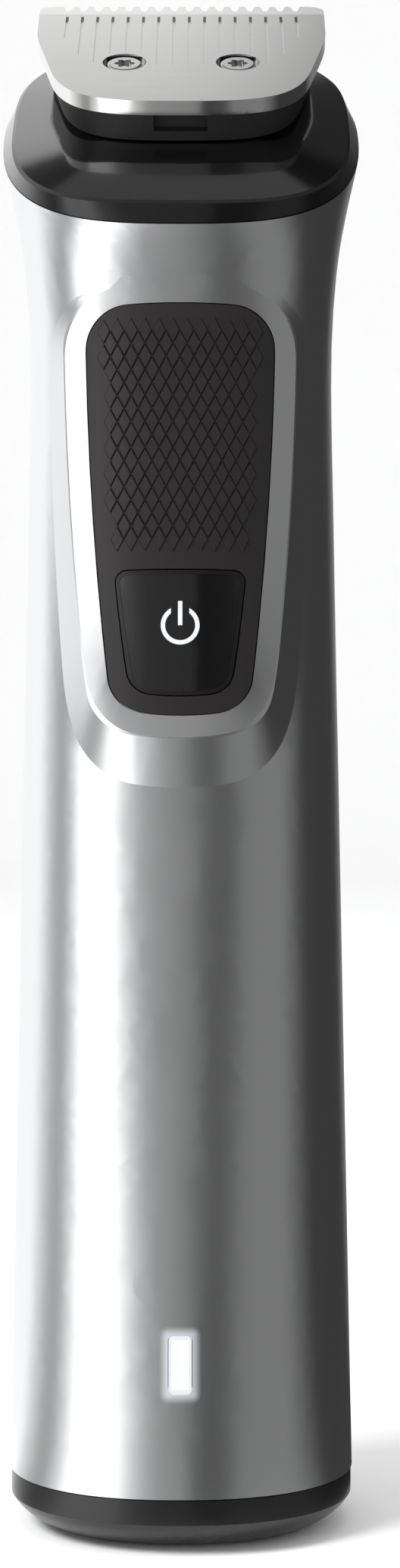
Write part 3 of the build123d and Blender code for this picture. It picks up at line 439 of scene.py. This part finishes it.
def makeTent():
    # a ring of cards and soft boxes that only shows in reflections
    size = {"radius": 0.5, "height": 0.28, "dome": 0.3, "foot": 0.0006, "inner": 0.024, "eye": 0.09,
            "steps": 96, "tip": 0.0002, "brightest": 4, "low": 0.74, "cornerDark": 0.95, "zenith": 0.36}
    profile = [(size["inner"], size["foot"]), (0.2, size["foot"]), (size["radius"], size["foot"]),
               (size["radius"], size["height"])]
    for i in range(1, 13):
        a = math.pi / 2 * i / 12
        profile.append((max(size["tip"], size["radius"] * math.cos(a)),
                        size["height"] + size["dome"] * math.sin(a)))
    tent = ringMesh("tent", profile, size["steps"])
    for ray in ("camera", "diffuse", "shadow", "transmission", "volume_scatter"):
        setattr(tent, "visible_" + ray, False)
    f = Finish("tentGlow", {"Base Color": (0, 0, 0), "Roughness": 1.0, "Specular IOR Level": 0.0,
                            "Emission Strength": 1.0})
    x, y, z = f.place()[1]
    # turn: 0 faces the camera, -0.5 is hard left, +0.5 hard right, +-1 behind
    turn = f.maths("ARCTAN2", x, 0 - y) / math.pi
    flat = f.maths("SQRT", x * x + y * y)
    # rise: 0 level with the middle of the handle, 1 straight up
    rise = f.maths("ARCTAN2", z - size["eye"], flat) / (math.pi / 2)
    around = [(-1.0, 1.0), (-0.64, 1.3), (-0.56, 0.85), (-0.47, 0.42), (-0.42, 0.4), (-0.36, 0.9),
              (-0.31, 1.8), (-0.17, 1.8), (-0.12, 0.75), (-0.06, 0.36), (0.012, 0.3), (0.024, 0.06),
              (0.1, 0.1), (0.15, 0.24), (0.32, 0.26), (0.4, 0.14), (0.47, 0.05), (0.8, 0.05),
              (0.9, 0.25), (1.0, 1.0)]
    # overhead, seen by the blade and the collar: bright behind on the left, dark behind on the right
    above = [(-1.0, 1.45), (-0.97, 1.45), (-0.9, 1.4), (-0.75, 1.3), (-0.5, 1.0), (-0.2, 0.7),
             (0.0, 0.5), (0.4, 0.2), (0.8, 0.05), (0.92, 0.08), (0.955, 0.9), (1.0, 1.45)]

    def painted(stops):
        # a ramp holds values up to 1, so the stops are stored small and brought back up
        stored = [((a + 1) / 2, b / size["brightest"]) for a, b in stops]
        ramp = f.add("ShaderNodeValToRGB", {"stops": stored}, {"Fac": (turn + 1) / 2})
        return f.add("ShaderNodeSeparateColor", inputs={0: ramp}, output=0) * size["brightest"]

    sides = painted(around)
    over = f.smooth(rise, 0.22, 0.4)
    corner = f.smooth(rise, 0.7, 0.735)
    zenith = f.smooth(rise, 0.8, 0.825)
    high = painted(above) * (size["low"] + f.smooth(rise, 0.57, 0.63) * (1 - size["low"]))
    glow = sides + (high - sides) * over
    glow = glow * (1 - corner * size["cornerDark"])
    glow = glow + (size["zenith"] - glow) * zenith
    f.drive("Emission Color", f.add("ShaderNodeCombineColor", inputs={0: glow, 1: glow, 2: glow}))
    tent.data.materials.append(f.material)


def makeLight(name, place, aim, width, power):
    data = bpy.data.lights.new(name, "AREA")
    data.shape = "DISK"
    data.size = width
    data.energy = power
    lamp = bpy.data.objects.new(name, data)
    lamp.location = place
    lamp.rotation_euler = (Vector(aim) - Vector(place)).to_track_quat("-Z", "Y").to_euler()
    lamp.visible_glossy = False
    scene.collection.objects.link(lamp)


def makeWorld():
    size = {"tone": (1, 1, 1), "strength": 0.95}
    world = bpy.data.worlds.new("paleRoom")
    world.use_nodes = True
    back = world.node_tree.nodes["Background"]
    back.inputs["Color"].default_value = (*size["tone"], 1)
    back.inputs["Strength"].default_value = size["strength"]
    scene.world = world


def makeCamera():
    size = {"lens": 59.13, "spot": (0.00205, -0.282, 0.080)}
    data = bpy.data.cameras.new("camera")
    data.lens = size["lens"]
    data.clip_start = 0.01
    camera = bpy.data.objects.new("camera", data)
    camera.location = size["spot"]
    camera.rotation_euler = (math.pi / 2, 0, 0)
    scene.collection.objects.link(camera)
    scene.camera = camera


makeFloor()
makeTent()
makeWorld()
makeLight("keyLeft", place=(-0.7, -0.5, 0.9), aim=(0, 0, 0.08), width=0.5, power=14.0)
makeCamera()
scene.view_settings.view_transform = "Standard"
print("stage done")
